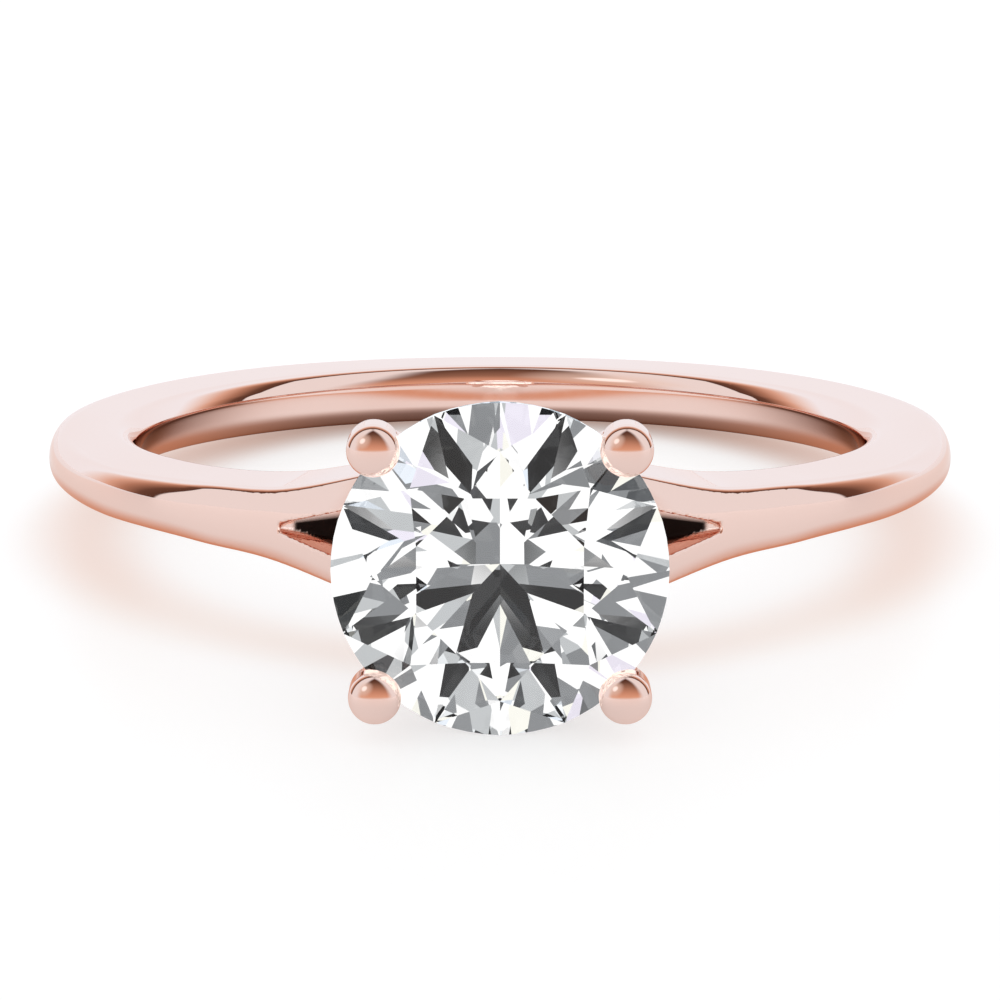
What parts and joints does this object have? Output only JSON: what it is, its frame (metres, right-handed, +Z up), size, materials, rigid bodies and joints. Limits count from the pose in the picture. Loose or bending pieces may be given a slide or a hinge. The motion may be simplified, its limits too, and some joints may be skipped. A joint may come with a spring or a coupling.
{
  "type": "solitaire engagement ring",
  "caption": "Rose gold ring whose oval shank splits towards a head of round prongs that hold one round brilliant-cut clear stone; it lies on its side.",
  "frame": {"origin": "on the surface that the ring lies on, under the middle of its bounding box", "axes": "+Z up, +Y from the stone to the back of the band, X across the ring; the finger hole's axis leans 6.1 degrees from Z towards +Y, because the ring lies on the stone's girdle and the back of the band"},
  "size_m": [0.0206, 0.025, 0.0065],
  "materials": {
    "rose_gold": "mirror-polished 14-carat rose gold",
    "clear_stone": "faceted and polished colourless stone with a high refractive index"
  },
  "bodies": {
    "root": {"band_and_prongs": "rose_gold", "round_stone": "clear_stone"}
  },
  "joints": []
}
